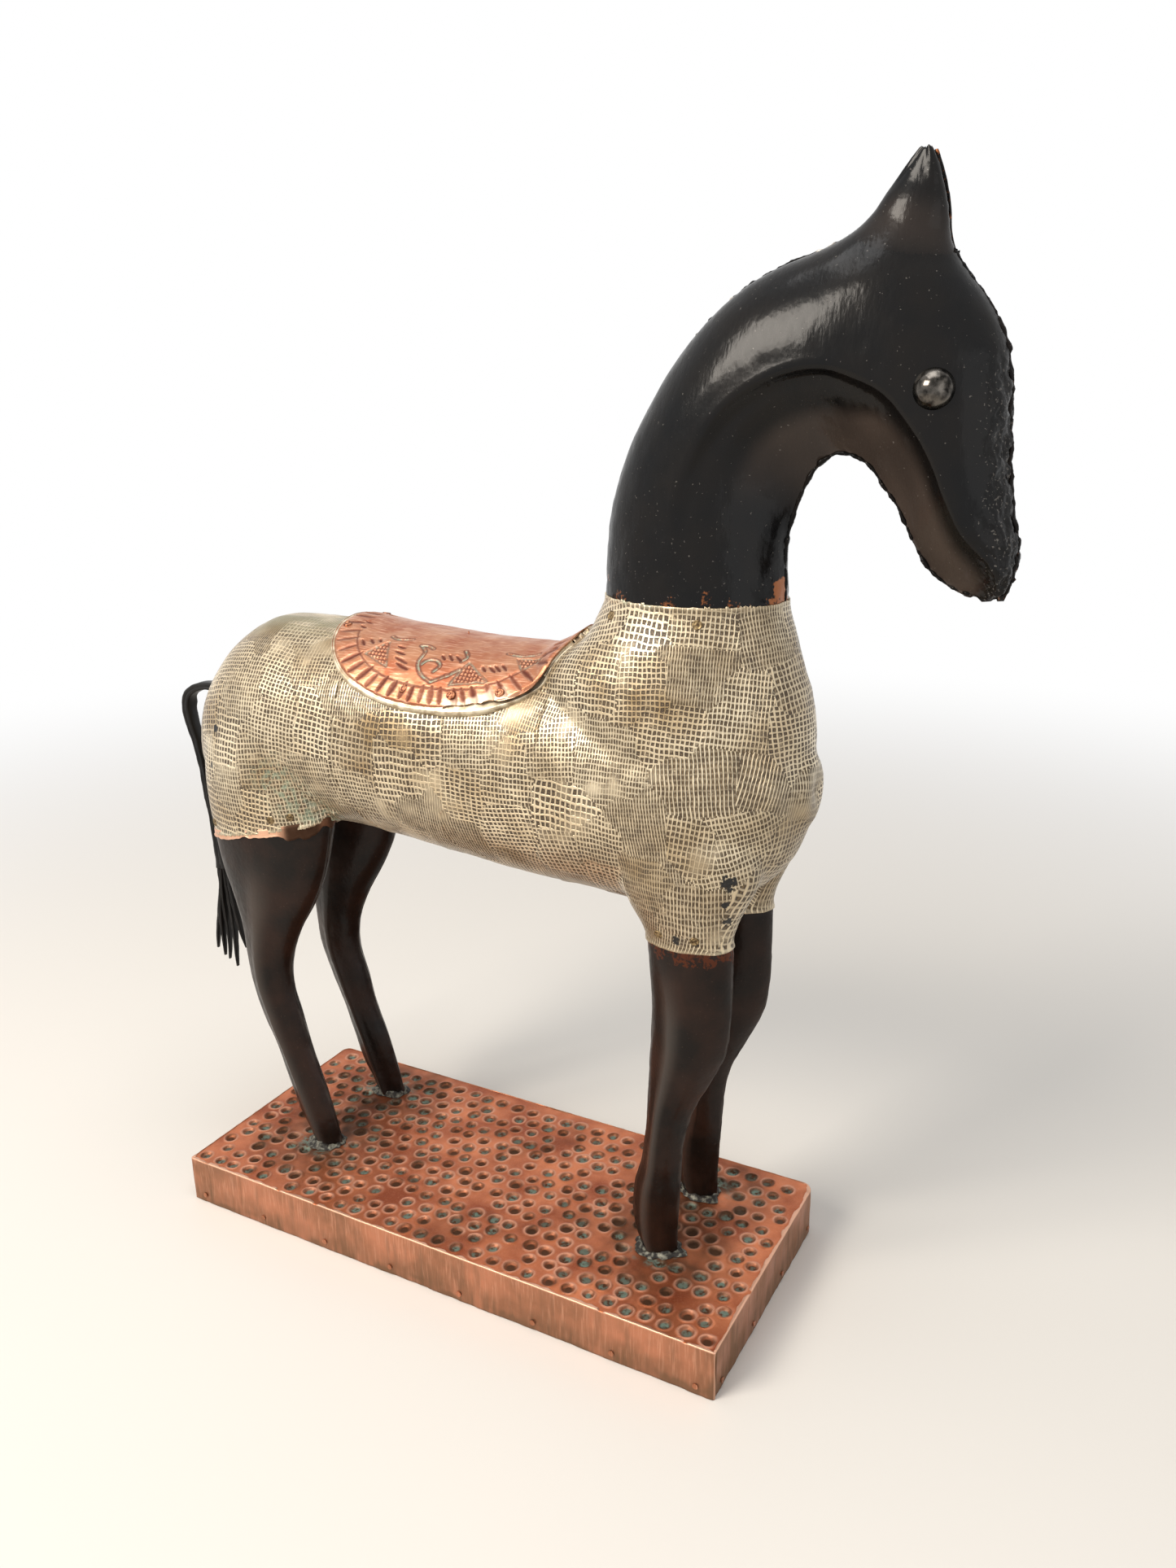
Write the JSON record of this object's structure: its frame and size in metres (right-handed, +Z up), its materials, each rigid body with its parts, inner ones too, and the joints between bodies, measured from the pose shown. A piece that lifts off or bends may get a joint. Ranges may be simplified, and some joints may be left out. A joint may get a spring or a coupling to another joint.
{
  "type": "animal statue",
  "caption": "Standing horse statue: nailed sheet cladding over a wooden trunk, hollow sheet head and legs, saddle plate, strap tail and a clad base board.",
  "frame": {"origin": "centre of the base's flat underside", "axes": "+X towards the horse's head, +Z up"},
  "size_m": [0.5802, 0.179, 0.6655],
  "materials": {
    "board_wood": "sawn softwood",
    "base_copper": "punched and hammered copper with brown and green patina",
    "saddle_copper": "chased copper",
    "white_metal": "worn white metal",
    "embossed_metal": "embossed white metal with brown patina in the cells",
    "black_paint": "gloss black paint on copper sheet",
    "braze": "rough brazed seam, painted",
    "solder": "dull grey solder",
    "steel": "darkened steel",
    "saddle_nail_copper": "copper nail heads"
  },
  "bodies": {
    "root": {"base_board": "board_wood", "body_core": "board_wood", "neck_peg": "board_wood", "leg_peg_hind_right": "board_wood", "leg_peg_hind_left": "board_wood", "leg_peg_fore_right": "board_wood", "leg_peg_fore_left": "board_wood", "foot_plug_hind_right": "board_wood", "foot_plug_hind_left": "board_wood", "foot_plug_fore_right": "board_wood", "foot_plug_fore_left": "board_wood", "base_top_sheet": "base_copper", "base_side_band": "base_copper", "saddle_plate": "saddle_copper", "saddle_pad": "white_metal", "skin_rear_right": "embossed_metal", "skin_rear_left": "embossed_metal", "skin_middle_right": "embossed_metal", "skin_middle_left": "embossed_metal", "skin_front_right": "embossed_metal", "skin_front_left": "embossed_metal", "head_shell_right": "black_paint", "head_shell_left": "black_paint", "ear_right": "black_paint", "ear_left": "black_paint", "eye_right": "black_paint", "eye_left": "black_paint", "tail_stem": "black_paint", "tail_strands": "black_paint", "leg_shell_hind_right_outer": "black_paint", "leg_shell_hind_right_inner": "black_paint", "leg_shell_hind_left_outer": "black_paint", "leg_shell_hind_left_inner": "black_paint", "leg_shell_fore_right_outer": "black_paint", "leg_shell_fore_right_inner": "black_paint", "leg_shell_fore_left_outer": "black_paint", "leg_shell_fore_left_inner": "black_paint", "head_seam": "braze", "foot_weld_hind_right": "solder", "foot_weld_hind_left": "solder", "foot_weld_fore_right": "solder", "foot_weld_fore_left": "solder", "base_screws": "steel", "base_band_tacks": "steel", "cladding_nails": "steel", "saddle_nails": "saddle_nail_copper"}
  },
  "joints": []
}
